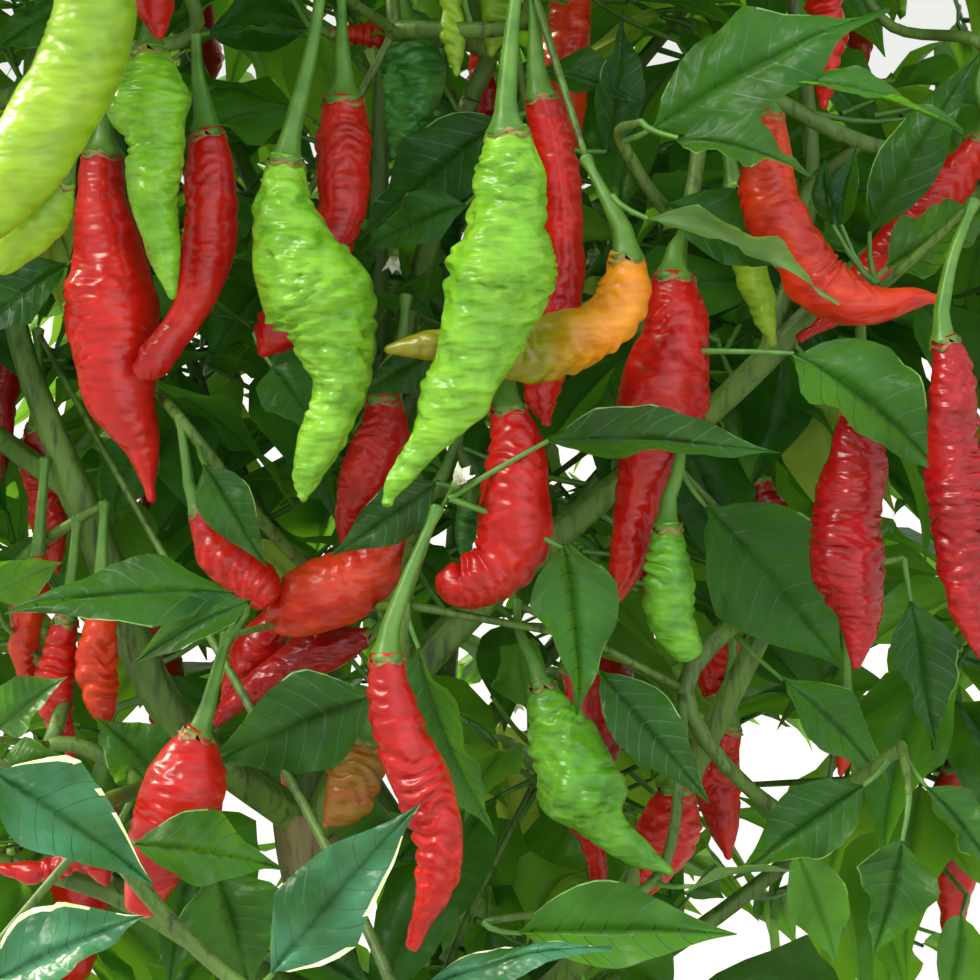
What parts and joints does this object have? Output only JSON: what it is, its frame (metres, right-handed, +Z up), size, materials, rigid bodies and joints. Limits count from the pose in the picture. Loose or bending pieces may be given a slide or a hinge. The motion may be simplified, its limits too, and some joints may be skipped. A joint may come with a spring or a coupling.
{
  "type": "chilli pepper plant",
  "caption": "Bushy chilli pepper plant, rooted, with forked green stems, pointed leaves and long hanging fruit in red, orange and green.",
  "frame": {"origin": "centre of the flat cut under the stem, at ground level", "axes": "+Z up along the plant's height, -Y towards the side seen in the picture, +X to that side's right"},
  "size_m": [0.5446, 0.436, 0.8962],
  "materials": {
    "woody_stem": "satin",
    "green_stem": "satin",
    "foliage": "satin",
    "leaf": "satin",
    "red_fruit": "gloss",
    "orange_fruit": "gloss",
    "green_fruit": "gloss",
    "stalk": "satin",
    "petal": "matte"
  },
  "bodies": {
    "root": {"bough_back": "green_stem", "bough_back_left": "green_stem", "bough_back_low": "green_stem", "bough_back_right": "green_stem", "bough_back_top_left": "green_stem", "bough_back_top_right": "green_stem", "bough_centre": "green_stem", "bough_centre_front": "green_stem", "bough_front_low": "green_stem", "bough_inner_left": "green_stem", "bough_inner_right": "green_stem", "bough_left": "green_stem", "bough_left_low": "green_stem", "bough_low_left": "green_stem", "bough_low_right": "green_stem", "bough_outer_left": "green_stem", "bough_outer_right": "green_stem", "bough_right": "green_stem", "bough_right_low": "green_stem", "bough_top": "green_stem", "bough_top_left": "green_stem", "bough_top_right": "green_stem", "foliage_back": "foliage", "foliage_back_left": "foliage", "foliage_back_low": "foliage", "foliage_back_right": "foliage", "foliage_back_top_left": "foliage", "foliage_back_top_right": "foliage", "foliage_front_low": "foliage", "foliage_inner_left": "foliage", "foliage_inner_right": "foliage", "foliage_low_left": "foliage", "foliage_low_right": "foliage", "foliage_outer_left": "foliage", "foliage_outer_right": "foliage", "foliage_top": "foliage", "foliage_top_left": "foliage", "foliage_top_right": "foliage", "main_stem": "woody_stem", "spray_centre": "foliage", "spray_centre_top": "foliage", "spray_left_low": "foliage", "spray_left_top": "foliage", "spray_right_low": "foliage", "spray_right_top": "foliage"}
  },
  "joints": []
}
